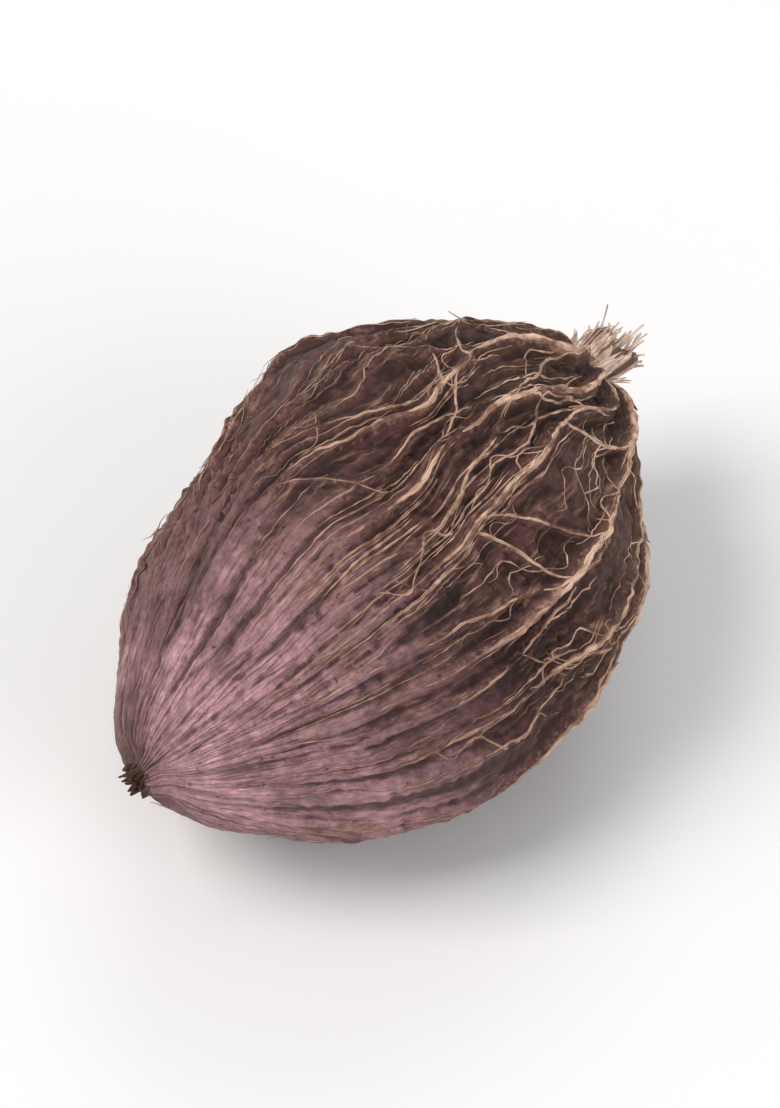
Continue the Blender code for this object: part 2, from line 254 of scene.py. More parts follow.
def skin_noise(along, angle, cells_along, cells_round, seed):
    """Smooth random hills from -1 to 1: a lattice of seeded numbers over the pod's length and round its axis,
    blended between its points, and closed where the angle comes full circle."""
    lattice = np.random.default_rng(seed).uniform(-1.0, 1.0, (cells_along + 2, cells_round))
    p = np.clip(along, 0.0, 1.0) * cells_along
    q = np.mod(angle / (2.0 * np.pi), 1.0) * cells_round
    i = np.floor(p).astype(int)
    j = np.floor(q).astype(int) % cells_round
    next_j = (j + 1) % cells_round
    fp = smooth(p - i, 0.0, 1.0)
    fq = smooth(q - np.floor(q), 0.0, 1.0)
    near = lattice[i, j] * (1.0 - fq) + lattice[i, next_j] * fq
    far = lattice[i + 1, j] * (1.0 - fq) + lattice[i + 1, next_j] * fq
    return near * (1.0 - fp) + far * fp


def egg_radius(x):
    """The body's radius as a share of its greatest, at x along the axis: an ellipse drawn in at both ends."""
    c = np.clip(2.0 * x / BODY_LENGTH, -1.0, 1.0)
    pinch = TIP_PINCH * np.clip(c - TIP_PINCH_FROM, 0.0, None) ** 2
    return np.sqrt(1.0 - c * c) * (1.0 - pinch - BLUNT_PINCH * np.clip(-c, 0.0, None) ** 2)


def stub_radius(x):
    """The stub's radius at x along the axis: a rod that starts inside the body and ends in a rounded cap."""
    into_cap = np.clip((x - (STUB_END - STUB_CAP)) / STUB_CAP, 0.0, 1.0)
    flare = 1.0 + STUB_FLARE * smooth(x, STUB_END - 0.7 * STUB_LENGTH, STUB_END)
    return STUB_RADIUS * flare * np.sqrt(1.0 - into_cap**2) * smooth(x, 0.0, BODY_LENGTH / 2)


def outline(rows):
    """x along the axis, the egg's share of the radius, the stub's radius, the blended radius and the share of
    the stub in it, at rows evenly spaced along the outline from the flower scar to the end of the stub."""
    turn = np.linspace(np.pi, 0.0, OUTLINE_SAMPLES)
    middle = (STUB_END - BODY_LENGTH / 2) / 2
    x = middle + (STUB_END + BODY_LENGTH / 2) / 2 * np.cos(turn)
    body = egg_radius(x) * BODY_WIDTH / 2
    radius = (body**STUB_BLEND + stub_radius(x) ** STUB_BLEND) ** (1.0 / STUB_BLEND)
    travelled = np.concatenate([[0.0], np.cumsum(np.hypot(np.diff(x), np.diff(radius)))])
    x = np.interp(np.linspace(0.0, travelled[-1], rows), travelled, x)
    egg = egg_radius(x)
    stub = stub_radius(x)
    body = egg * BODY_WIDTH / 2
    total = body**STUB_BLEND + stub**STUB_BLEND
    share = np.where(total > 0.0, stub**STUB_BLEND / np.maximum(total, 1e-30), x > 0.0)
    return x, egg, stub, total ** (1.0 / STUB_BLEND), share


def wave(rng, along, slowest, fastest):
    """A sine along the pod, with a random phase and a random number of waves in its length."""
    return np.sin(2.0 * np.pi * (rng.uniform(slowest, fastest) * along + rng.uniform()))


def kink_growth(along):
    """How kinked the strands are, from nearly straight in the blunt half to fully kinked near the stalk."""
    return 0.3 + 0.7 * smooth(along, 0.40, 0.85)


def wander(rng, along, slow, kinks):
    """A strand's sideways wander in radians: one slow wave, and short kinks that grow towards the stalk."""
    drift = slow * wave(rng, along, 0.7, 1.3)
    short = wave(rng, along, 3.0, 5.0) + 0.45 * wave(rng, along, 7.0, 11.0)
    return drift + kinks * kink_growth(along) * short


def rib_strands(rng, along):
    """The ribs from scar to stalk: those of the upper side through their bends, the others spread evenly."""
    found = []
    for bends, strength in UPPER_RIBS:
        path = np.radians(curve_through(along, BEND_PLACES, bends)) + wander(rng, along, 0.0, 0.028)
        found.append((path, RIB_HEIGHT * strength))
    for angle in np.linspace(LOWER_RIBS_FROM, LOWER_RIBS_TO, LOWER_RIBS + 2)[1:-1]:
        path = np.radians(angle) + RIB_SPACING * rng.uniform(-0.16, 0.16) + wander(rng, along, 0.05, 0.038)
        found.append((path, RIB_HEIGHT * rng.uniform(0.75, 1.1)))
    rise = smooth(along, 0.01, 0.22) * (BLUNT_HEIGHT + (1.0 - BLUNT_HEIGHT) * smooth(along, 0.25, 0.62))
    ribs = []
    for path, height in found:
        swelling = 0.84 + 0.16 * wave(rng, along, 2.5, 5.0)
        ribs.append((path, height * rise * swelling, RIB_WIDTH * rng.uniform(0.85, 1.2)))
    return ribs


def fork_strands(rng, along, ribs):
    """Strands that leave a rib, run beside it towards the blunt end, and fade out there."""
    found = []
    for i in range(FORK_COUNT):
        leaves = rng.uniform(0.50, 0.88)
        fades = rng.uniform(0.04, 0.25)
        apart = rng.choice([-1.0, 1.0]) * RIB_SPACING * rng.uniform(0.36, 0.58)
        path = ribs[i % RIB_COUNT][0] + apart * (1.0 - smooth(along, leaves - 0.30, leaves))
        height = FORK_HEIGHT * rng.uniform(0.6, 1.1) * smooth(along, fades, fades + 0.15)
        height = height * (1.0 - smooth(along, leaves, leaves + 0.04))
        found.append((path + wander(rng, along, 0.05, 0.030), height, RIB_WIDTH * 0.8))
    return found


def link_strands(rng, along, ribs):
    """Strands that cross from one rib to the next, leaving and meeting them at a slant."""
    found = []
    for _ in range(LINK_COUNT):
        first = rng.integers(RIB_COUNT)
        second = (first + rng.choice([-1, 1])) % RIB_COUNT
        begins = rng.uniform(0.30, 0.76)
        ends = begins + rng.uniform(0.10, 0.22)
        gap = half_turn(ribs[second][0] - ribs[first][0])
        path = ribs[first][0] + gap * smooth(along, begins, ends) + wander(rng, along, 0.0, 0.035)
        height = LINK_HEIGHT * rng.uniform(0.6, 1.1) * smooth(along, begins - 0.02, begins + 0.01)
        height = height * (1.0 - smooth(along, ends - 0.01, ends + 0.02))
        found.append((path, height, RIB_WIDTH * 0.75))
    return found


def net_strands(along):
    """The ribs, then their forks and the links of the net. Each is its angle round the axis at every row, its
    height there and its width."""
    rng = np.random.default_rng(SEED)
    ribs = rib_strands(rng, along)
    return ribs, fork_strands(rng, along, ribs) + link_strands(rng, along, ribs)


def strand_relief(x, radius, angle, strands):
    """The height of the strands over the husk. A strand's section is a narrow crest, height over one plus the
    squared share of its width to the power 1.4, on a broad low bell, and where strands meet the higher one
    carries on. angle holds the grid's angles, row by row."""
    stretch = np.maximum(np.gradient(x) ** 2 + np.gradient(radius) ** 2, 1e-16) ** 0.5
    crest = np.zeros(angle.shape)
    welt = np.zeros(angle.shape)
    widest = STRAND_CROWDING * RIB_SPACING * radius + 1e-5
    crowded = np.minimum(1.0, 0.35 + radius / 0.0030)
    for path, height, width in strands:
        slant = radius * np.gradient(path) / stretch
        distance = half_turn(angle - path[:, None]) * (radius / np.hypot(1.0, slant))[:, None]
        narrow = np.minimum(width, widest)[:, None]
        height = (height * crowded)[:, None]
        crest += (height / (1.0 + (distance / narrow) ** 2) ** 1.4) ** CREST_POWER
        spread = np.exp(-((distance / (SWELL_WIDTH * narrow)) ** 2))
        welt = np.maximum(welt, height / RIB_HEIGHT * spread)
    return crest ** (1.0 / CREST_POWER), RIB_SWELL * welt


def base_surface(x, egg, stub, angle):
    """The smooth pod: a three-lobed oval section carried along a bent axis and drawn in to the round stub,
    with a shoulder that bulges to one side of the stalk."""
    along = share_along(x)
    oval = 1.0 / np.hypot(2.0 * np.cos(angle) / BODY_WIDTH, 2.0 * np.sin(angle) / BODY_HEIGHT)
    lobes = 1.0 + LOBE * smooth(along, 0.0, 0.3)[:, None] * np.cos(3.0 * (angle - np.pi / 2))
    bulge = SHOULDER * np.exp(-(((along - SHOULDER_PLACE) / SHOULDER_SPREAD) ** 2))
    facing = np.clip(np.cos(angle - SHOULDER_TURN), 0.0, 1.0)
    section = egg[:, None] * oval * (lobes + bulge[:, None] * facing**2)
    radius = (section**STUB_BLEND + stub[:, None] ** STUB_BLEND) ** (1.0 / STUB_BLEND)
    side = -BELLY_BEND * np.sin(np.pi * along**BELLY_BEND_SKEW) - BELLY_SWAY * np.sin(2.0 * np.pi * along)
    y = radius * np.cos(angle) + side[:, None]
    z = radius * np.sin(angle) + TIP_RISE * along[:, None] ** 3
    return np.stack([np.broadcast_to(x[:, None], radius.shape), y, z], axis=-1)


def outward(points):
    """Unit normals of a grid of points whose columns close round the axis. They face out, and at the end rows
    along the axis."""
    down = np.gradient(points, axis=0)
    wrapped = np.concatenate([points[:, -1:], points, points[:, :1]], axis=1)
    across = (wrapped[:, 2:] - wrapped[:, :-2]) / 2.0
    normal = np.cross(across, down)
    normal[0] = (-1.0, 0.0, 0.0)
    normal[-1] = (1.0, 0.0, 0.0)
    return unit(normal)


def rest_spot(points):
    """1 on the underside where the pod rests, falling smoothly to 0 round it."""
    along = points[..., 0] / REST_CALM_ALONG
    across = (points[..., 1] + BELLY_BEND) / REST_CALM_ACROSS
    return np.exp(-(along**2) - across**2) * (points[..., 2] < 0.0)


def end_forms(x, radius, angle):
    """How far the two ends move along X: the flower scar's dimple and pitted nub, and the stub's torn, hollow
    end."""
    torn = skin_noise(np.full(angle.shape, 0.5), angle, 2, 9, SEED + 5)
    radius = radius[:, None]
    across_nub = radius / (SCAR_NUB_RADIUS * (1.0 + 0.35 * torn))
    nub = SCAR_NUB * (np.exp(-(across_nub**4)) - SCAR_PIT * np.exp(-((2.2 * across_nub) ** 2)))
    dimple = SCAR_DIMPLE * np.exp(-((radius / SCAR_DIMPLE_RADIUS) ** 2))
    at_end = smooth(x, STUB_END - 0.5 * STUB_LENGTH, STUB_END)[:, None]
    rim = at_end * smooth(radius, 0.0, 0.5 * STUB_RADIUS)
    recess = STUB_RECESS * np.exp(-((radius / STUB_RECESS_RADIUS) ** 4)) * (x > BODY_LENGTH / 2)[:, None]
    return np.where((x < 0.0)[:, None], dimple - nub, STUB_RAGGEDNESS * rim * torn - recess)


def plainness(angle):
    """The share of its pale cords that the husk lacks at an angle, greatest on its plain side."""
    return PLAIN_SHARE * np.exp(-((half_turn(angle - PLAIN_SIDE) / PLAIN_SPREAD) ** 2))


def rib_columns(paths):
    """The angles of the grid's columns at every row, and their places in the grain, where a whole number is a
    rib. Between two ribs the columns lie at t - c sin(2 pi t) / 2 pi, closer at the ribs."""
    steps = LEAST_RIB_GAP * np.arange(RIB_COUNT)[:, None]
    paths = np.maximum.accumulate(paths - steps, axis=0) + steps
    closed = np.concatenate([paths, paths[:1] + 2.0 * np.pi])
    edges = np.round((closed.mean(axis=1) - closed[0].mean()) / (2.0 * np.pi) * COLUMNS).astype(int)
    angles = []
    grain = []
    for i in range(RIB_COUNT):
        t = np.arange(edges[i + 1] - edges[i]) / (edges[i + 1] - edges[i])
        t = t - COLUMN_CROWDING * np.sin(2.0 * np.pi * t) / (2.0 * np.pi)
        angles.append(closed[i][:, None] + (closed[i + 1] - closed[i])[:, None] * t)
        grain.append(i + t)
    return np.concatenate(angles, axis=1), np.concatenate(grain)


def fine_relief(along, turn, crest):
    """Relief finer than the ribs, over along and turn, the angle that follows the ribs: long striations that
    are strongest in the blunt half, short wrinkles across the hollows, and pebbled skin."""
    valley = 1.0 - smooth(crest, 0.10, 0.55)
    blunt = 1.0 - smooth(along, 0.35, 0.75)
    lines = 1.0 - 2.0 * np.abs(skin_noise(along, turn, *STRIATION_CELLS, SEED + 11))
    lines += 0.5 * skin_noise(along, turn, *FINE_STRIATION_CELLS, SEED + 12)
    striations = STRIATION_HEIGHT * lines * (0.60 + 0.40 * blunt) * (0.6 + 0.4 * valley)
    folds = 1.0 - 2.4 * np.abs(skin_noise(along, turn, *WRINKLE_CELLS, SEED + 13))
    folds += 0.6 * (1.0 - 2.4 * np.abs(skin_noise(along, turn, *CROSSING_WRINKLE_CELLS, SEED + 16)))
    patches = 0.35 + 0.65 * smooth(skin_noise(along, turn, *WRINKLE_PATCH_CELLS, SEED + 14), -0.5, 0.6)
    wrinkles = WRINKLE_DEPTH * folds * patches * valley * (0.55 + 0.45 * smooth(along, 0.15, 0.50))
    pebbles = PEBBLE_HEIGHT * skin_noise(along, turn, *PEBBLE_CELLS, SEED + 15)
    groove = np.exp(-(((crest - GROOVE_CREST) / GROOVE_SPREAD) ** 2)) * (0.3 + 0.7 * patches)
    return striations + wrinkles + pebbles - GROOVE_DEPTH * groove


def sideways_mean(field, reach):
    """The field's running mean over its columns, closed round the axis, reach columns to each side."""
    total = field.copy()
    for step in range(1, reach + 1):
        total += np.roll(field, step, axis=1) + np.roll(field, -step, axis=1)
    return total / (2 * reach + 1)


def husk_relief(x, radius, share, angle, turn, strands):
    """The skin's height over the smooth pod, the share of a rib's height in it, and how far it lies below the
    mean of the skin beside it, from -1 to 1."""
    along = np.broadcast_to(share_along(x)[:, None], angle.shape)
    share = share[:, None]
    fullness = smooth(radius, 0.0, 0.4 * BODY_WIDTH)[:, None] * (1.0 - share)
    dents = DENT_DEPTH * skin_noise(along, angle, *DENT_CELLS, SEED + 1)
    ripples = RIPPLE_DEPTH * skin_noise(along, angle, *RIPPLE_CELLS, SEED + 2)
    height, welt = strand_relief(x, radius, angle, strands)
    crest = np.clip(height / RIB_HEIGHT, 0.0, 1.0)
    sharp = height * (1.0 - CREST_SHARPNESS * (1.0 - crest))
    nicks = 1.0 + CREST_NICKS * skin_noise(along, turn, *NICK_CELLS, SEED + 10)
    raised = (sharp * nicks + welt) * (1.0 - 0.6 * share)
    detail = fine_relief(along, turn, crest)
    relief = (dents + ripples) * fullness + raised + detail * (0.25 + 0.75 * fullness)
    relief *= smooth(radius, 0.0, 2.0 * STUB_RADIUS)[:, None]
    ridges = raised + detail
    beside = sum(weight * sideways_mean(ridges, reach) for reach, weight in HOLLOW_REACHES)
    return relief, crest, np.clip((beside - ridges) / (HOLLOW_DEPTH * RIB_HEIGHT), -1.0, 1.0)


def husk_surface():
    """The skin on the fine grid: its points and normals, and what the materials and cords read from it."""
    x, egg, stub, radius, share = outline(ROWS)
    along = share_along(x)
    ribs, net = net_strands(along)
    angle, grain = rib_columns(np.array([path for path, _, _ in ribs]))
    turn = np.broadcast_to(2.0 * np.pi * grain / RIB_COUNT, angle.shape)
    relief, crest, hollow = husk_relief(x, radius, share, angle, turn, ribs + net)
    points = base_surface(x, egg, stub, angle)
    relief = relief * (1.0 - REST_CALM * rest_spot(points))
    points = points + outward(points) * relief[..., None]
    points[..., 0] += end_forms(x, radius, angle)
    low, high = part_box("pod")
    middle = (points.min(axis=(0, 1)) + points.max(axis=(0, 1))) / 2.0
    points += ((low[0] + high[0]) / 2 - middle[0], (low[1] + high[1]) / 2 - middle[1], REST_DEPTH)
    points[..., 2] = np.maximum(points[..., 2], 0.0)
    crest = crest * (1.0 - CREST_PLAINNESS * plainness(angle))
    shape = dict(points=points, normals=outward(points), angle=angle, turn=turn)
    return dict(shape, along=along, crest=crest, hollow=hollow, share=share, ribs=ribs, net=net)


def scene_object(name, data):
    """An object of the scene that shows the data."""
    made = bpy.data.objects.new(name, data)
    bpy.context.scene.collection.objects.link(made)
    return made


def mesh_object(name, points, faces):
    """A smooth-shaded object from an array of points and lists of faces. Nothing of it reaches below the
    plane that the pod rests on."""
    mesh = bpy.data.meshes.new(name)
    points = np.maximum(points.reshape(-1, 3), (-np.inf, -np.inf, 0.0))
    mesh.from_pydata(points.tolist(), [], faces)
    mesh.shade_smooth()
    return scene_object(name, mesh)


def set_attribute(made, name, values):
    """Gives the mesh a named value or vector at every point."""
    kind, key = ("FLOAT_VECTOR", "vector") if values.ndim > 1 else ("FLOAT", "value")
    layer = made.data.attributes.new(name, kind, "POINT")
    layer.data.foreach_set(key, np.ascontiguousarray(values, np.float32).ravel())


def with_poles(field):
    """A grid's inner rows as one list, then the means of its first and last row, as the husk's points go."""
    last_axes = field.shape[2:]
    ends = np.array([field[0].mean(axis=0), field[-1].mean(axis=0)])
    return np.concatenate([field[1:-1].reshape((-1, *last_axes)), ends])


GRAIN_ROUND = 24.0  # streaks round the pod, over two pi
GRAIN_ALONG = 9.0  # streaks end to end


def capped_faces(rows, columns):
    """The faces of rings of points, row by row, followed by two poles: quads between the rings and a fan of
    triangles at each pole. They face out where the columns turn from +Y to +Z as the rows go along +X."""
    index = np.arange(rows * columns).reshape(rows, columns)
    beside = np.roll(index, -1, axis=1)
    quads = np.stack([index[:-1], beside[:-1], beside[1:], index[1:]], axis=-1).reshape(-1, 4)
    first = np.stack([np.full(columns, index.size), beside[0], index[0]], axis=-1)
    last = np.stack([np.full(columns, index.size + 1), index[-1], beside[-1]], axis=-1)
    return quads, np.concatenate([first, last])


def build_husk(skin):
    """The husk as one closed surface. Its attributes are the share of a rib's height, how hollow the skin is
    beside it, the share of the length, the share of the stub, and the grain, which is (k cos turn,
    k sin turn, m along), so that patterns on it run with the ribs and close round the axis."""
    quads, fans = capped_faces(ROWS - 2, skin["angle"].shape[1])
    husk = mesh_object("husk", with_poles(skin["points"]), quads.tolist() + fans.tolist())
    along = np.broadcast_to(skin["along"][:, None], skin["angle"].shape)
    stub = np.broadcast_to(skin["share"][:, None], skin["angle"].shape)
    round_pod = GRAIN_ROUND * np.array([np.cos(skin["turn"]), np.sin(skin["turn"])])
    grain = np.stack([*round_pod, GRAIN_ALONG * along], axis=-1)
    fields = {"crest": skin["crest"], "hollow": skin["hollow"], "along": along, "stub": stub, "grain": grain}
    for name, field in fields.items():
        set_attribute(husk, name, with_poles(field))
    return husk


def add_node(tree, kind, inputs=None, **settings):
    """A node with its settings made and its inputs either linked, where they are sockets, or set."""
    made = tree.nodes.new(kind)
    for name, value in settings.items():
        setattr(made, name, value)
    for key, value in (inputs or {}).items():
        if isinstance(value, bpy.types.NodeSocket):
            tree.links.new(value, made.inputs[key])
        else:
            made.inputs[key].default_value = value
    return made


def linear(colour):
    """An sRGB colour from 0 to 255 as the linear colour that nodes take."""
    shares = np.array(colour, float) / 255.0
    low = shares / 12.92
    high = ((shares + 0.055) / 1.055) ** 2.4
    return (*np.where(shares <= 0.04045, low, high).tolist(), 1.0)


def attribute(tree, name):
    """A mesh attribute: its number, or its vector for the grain and the strand."""
    made = add_node(tree, "ShaderNodeAttribute", attribute_name=name)
    return made.outputs["Vector" if name in ("grain", "strand") else "Fac"]


def noise(tree, place, pattern):
    """Fractal noise around 0.5 at a place."""
    scale, detail, roughness = pattern
    inputs = {"Vector": place, "Scale": scale, "Detail": detail, "Roughness": roughness}
    return add_node(tree, "ShaderNodeTexNoise", inputs).outputs["Fac"]


def spread(tree, value, low, high, to_low=0.0, to_high=1.0):
    """The value's range from low to high, eased and carried to another range."""
    inputs = {"Value": value, "From Min": low, "From Max": high, "To Min": to_low, "To Max": to_high}
    return add_node(tree, "ShaderNodeMapRange", inputs, interpolation_type="SMOOTHSTEP").outputs["Result"]


def times(tree, first, second):
    """The product of two numbers."""
    return add_node(tree, "ShaderNodeMath", {0: first, 1: second}, operation="MULTIPLY").outputs[0]


def blend(tree, share, first, second, way="MIX"):
    """One colour over another, by a share. Colours are sockets or linear values."""
    inputs = {0: share, 6: first, 7: second}
    return add_node(tree, "ShaderNodeMix", inputs, data_type="RGBA", blend_type=way).outputs[2]


def lay(tree, skin, colour, *shares):
    """A colour laid over the skin by the product of its shares."""
    share = shares[0]
    for other in shares[1:]:
        share = times(tree, share, other)
    return blend(tree, share, skin, linear(colour))


def shade(tree, skin, pattern, darkest, lightest):
    """The skin made darker and lighter by a pattern's middle range."""
    return blend(tree, 1.0, skin, spread(tree, pattern, 0.30, 0.70, darkest, lightest), "MULTIPLY")


def bump(tree, height, distance, under=None):
    """Fine relief in the shading, distance metres for a height of 1, over an earlier one."""
    inputs = {"Height": height, "Strength": 1.0, "Distance": distance}
    if under is not None:
        inputs["Normal"] = under
    return add_node(tree, "ShaderNodeBump", inputs).outputs["Normal"]


def new_material(name):
    """A material with its tree and its Principled shader."""
    material = bpy.data.materials.new(name)
    material.use_nodes = True
    return material, material.node_tree, material.node_tree.nodes["Principled BSDF"]


def skin_colour(tree, place, grain, along, patches):
    """The skin between the ribs: brown that is mottled and streaked along the ribs, olive towards the stalk,
    and a blotched, paler mauve towards the blunt end, whose tint is the husk's own and whose paleness is
    partly a painted reflection of haze."""
    mottle = noise(tree, place, MOTTLE)
    streaks = noise(tree, grain, LIGHT_STREAKS)
    skin = lay(tree, linear(SKIN_DARK), SKIN_MIDDLE, spread(tree, mottle, 0.36, 0.56))
    at_tip = spread(tree, along, 0.40, 0.85)
    skin = lay(tree, skin, TIP_OLIVE, at_tip, spread(tree, patches, 0.35, 0.60), OLIVE_COVER)
    at_blunt = spread(tree, along, 0.50, 0.02)
    in_patches = spread(tree, patches, 0.22, 0.60, 0.3, 1.0)
    in_blotches = spread(tree, mottle, 0.38, 0.54, 0.50, 0.88)
    # Partly painted reflection: the husk's own mauve, lightened as a pale haze towards the blunt end
    skin = lay(tree, skin, BLUNT_MAUVE_AND_PAINTED_HAZE, at_blunt, in_patches, in_blotches)
    return lay(tree, skin, SKIN_LIGHT, spread(tree, streaks, 0.50, 0.70), LIGHT_COVER)


def vein_net(tree, grain, streaks):
    """A net of fine veins: the edges of cells that are drawn out along the ribs, shown in patches."""
    inputs = {"Vector": grain, "Scale": VEIN_SCALE}
    cells = add_node(tree, "ShaderNodeTexVoronoi", inputs, feature="DISTANCE_TO_EDGE").outputs["Distance"]
    return times(tree, spread(tree, cells, 0.10, 0.01), spread(tree, streaks, 0.42, 0.60))


def husk_material():
    """Brown skin with straw-coloured ribs and veins, furrows darkened nearly to black by painted shade, a
    grey dust on what stands out, dark pits, and a stub of pale fibre."""
    material, tree, shader = new_material("husk_skin")
    place = add_node(tree, "ShaderNodeTexCoord").outputs["Object"]
    names = ("grain", "crest", "hollow", "along", "stub")
    grain, crest, hollow, along, stub = (attribute(tree, name) for name in names)
    shortened = add_node(tree, "ShaderNodeVectorMath", {0: grain, 1: SHORT_GRAIN}, operation="MULTIPLY")
    short_grain = shortened.outputs[0]
    patches = noise(tree, place, PATCHES)
    streaks = noise(tree, grain, STREAKS)
    fine_streaks = noise(tree, short_grain, FINE_STREAKS)
    speckle = noise(tree, place, SPECKLE)
    pits = spread(tree, noise(tree, place, PITS), 0.34, 0.26)
    veins = vein_net(tree, grain, streaks)

    skin = skin_colour(tree, place, grain, along, patches)
    # Painted shade: the skin is darkened where it lies below the skin beside it, in the furrows between the
    # ribs
    skin = lay(tree, skin, FURROW_SHADE_AND_PIT_BROWN, spread(tree, hollow, 0.10, 0.95), FURROW_SHADE_COVER)
    skin = lay(tree, skin, CREST_STRAW, veins, VEIN_COVER)
    standing_out = spread(tree, hollow, 0.10, -0.50)
    skin = lay(tree, skin, DUST_GREY, standing_out, spread(tree, speckle, 0.48, 0.66), DUST_COVER)
    worn = spread(tree, noise(tree, short_grain, WEAR), 0.40, 0.62, 0.15, 1.0)
    bare = spread(tree, along, 0.05, 0.70, 0.25, 0.75)
    skin = lay(tree, skin, CREST_STRAW, spread(tree, crest, 0.64, 1.0), worn, bare)
    skin = lay(tree, skin, STUB_TAN, stub, STUB_COVER)
    skin = shade(tree, skin, fine_streaks, 0.70, 1.22)
    skin = shade(tree, skin, noise(tree, place, GRIT), 0.72, 1.20)
    skin = lay(tree, skin, FURROW_SHADE_AND_PIT_BROWN, pits, PIT_COVER)
    tree.links.new(skin, shader.inputs["Base Color"])

    dull = {0: spread(tree, patches, 0.30, 0.70, 0.50, 0.70), 1: times(tree, speckle, SPECKLE_DULLNESS)}
    rough = add_node(tree, "ShaderNodeMath", dull, operation="ADD").outputs[0]
    tree.links.new(rough, shader.inputs["Roughness"])
    shader.inputs["Specular IOR Level"].default_value = DRY_SPECULAR
    relief = None
    crumples = noise(tree, place, CRUMPLES)
    for pattern, depth in zip((streaks, veins, fine_streaks, crumples, pits), HUSK_BUMPS):
        relief = bump(tree, pattern, depth, relief)
    tree.links.new(relief, shader.inputs["Normal"])
    return material


def fibre_material(name, colour, darker):
    """Dry plant fibre: pale towards the stalk, darker towards the blunt end and in patches, with streaks that
    run lengthwise."""
    material, tree, shader = new_material(name)
    place = add_node(tree, "ShaderNodeTexCoord").outputs["Object"]
    lengthwise = add_node(tree, "ShaderNodeSeparateXYZ", {0: place}).outputs["X"]
    patches = spread(tree, noise(tree, place, FIBRE_PATCHES), 0.36, 0.58)
    patches = times(tree, patches, spread(tree, lengthwise, -0.006, 0.006, 0.45, 1.0))
    streaks = noise(tree, attribute(tree, "strand"), FIBRE_STREAKS)
    tint = lay(tree, linear(darker), colour, patches)
    tint = blend(tree, 1.0, tint, spread(tree, streaks, 0.34, 0.62, 0.50, 1.10), "MULTIPLY")
    tree.links.new(tint, shader.inputs["Base Color"])
    tree.links.new(spread(tree, patches, 0.0, 1.0, 0.62, 0.82), shader.inputs["Roughness"])
    shader.inputs["Specular IOR Level"].default_value = DRY_SPECULAR
    tree.links.new(bump(tree, streaks, FIBRE_BUMP), shader.inputs["Normal"])
    return material


ROW_STEP = 10.0  # sets the rows' angles apart on one line, more than a full turn


def skin_places(skin, rows, angle):
    """Points and normals of the skin at rows and angles round the axis. Each row's angles are put end to end
    on one line, so that a single interpolation finds them all."""
    start = skin["angle"][:, :1]
    closed = np.concatenate([skin["angle"], start + 2.0 * np.pi], axis=1)
    line = (closed + ROW_STEP * np.arange(len(closed))[:, None]).ravel()
    wrapped = np.mod(angle - start[rows, 0], 2.0 * np.pi) + start[rows, 0] + ROW_STEP * rows
    found = []
    for name in ("points", "normals"):
        field = np.concatenate([skin[name], skin[name][:, :1]], axis=1).reshape(-1, 3)
        found.append(np.stack([np.interp(wrapped, line, field[:, axis]) for axis in range(3)], axis=-1))
    return found


def skin_turn_angle(skin, turn):
    """The angle round the axis, at every row, of a place that is given by the angle that follows the ribs."""
    own_turn = skin["turn"][0]
    wrapped = np.mod(turn, 2.0 * np.pi)
    place = np.interp(wrapped, own_turn, np.arange(len(own_turn)))
    column = np.minimum(place.astype(int), len(own_turn) - 2)
    rows = np.arange(len(turn))
    share = place - column
    return skin["angle"][rows, column] * (1.0 - share) + skin["angle"][rows, column + 1] * share


STREAKS_LENGTHWISE = 900.0  # streaks end to end in a metre of fibre
STREAKS_ROUND = 1.3  # streaks across a radian of a tube
STREAKS_ACROSS = 4.0  # streaks across half a sheet's width
STREAK_STEP = 7.3  # how far one fibre's streaks lie from the next one's


def tubes(name, paths, sides):
    """A piece made of closed tubes along paths, each (points, normals, radii). A ring at each point has the
    radius times (cos, sin) on the sideways direction and the normal, and a single point closes each end. The
    rings turn the other way from the husk's rows, so the faces are turned over. The strand attribute is (m
    times the length so far, k cos turn, k sin turn) plus a step for each tube."""
    points = []
    strands = []
    faces = []
    count = 0
    turn = np.linspace(0.0, 2.0 * np.pi, sides, endpoint=False)
    circle = np.stack([np.cos(turn), np.sin(turn)], axis=-1)
    for centre, normal, radii in paths:
        tangent = unit(np.gradient(centre, axis=0))
        side = unit(np.cross(tangent, normal))
        up = np.cross(side, tangent)
        ring = circle[:, :1] * side[:, None] + circle[:, 1:] * up[:, None]
        ring = centre[:, None] + radii[:, None, None] * ring
        for flat in capped_faces(len(ring), sides):
            faces += (count + np.roll(flat[:, ::-1], 1, axis=1)).tolist()
        count += ring.size // 3 + 2
        ends = [centre[0] - tangent[0] * radii[0], centre[-1] + tangent[-1] * radii[-1]]
        points.append(np.concatenate([ring.reshape(-1, 3), ends]))
        steps = np.linalg.norm(np.diff(centre, axis=0), axis=-1)
        travelled = STREAKS_LENGTHWISE * np.concatenate([[0.0], np.cumsum(steps)])
        strand = np.empty(ring.shape)
        strand[..., 0] = travelled[:, None]
        strand[..., 1:] = STREAKS_ROUND * circle
        poles = np.array([(0.0, 0.0, 0.0), (travelled[-1], 0.0, 0.0)])
        strands.append(np.concatenate([strand.reshape(-1, 3), poles]) + STREAK_STEP * len(strands))
    made = mesh_object(name, np.concatenate(points), faces)
    set_attribute(made, "strand", np.concatenate(strands))
    return made


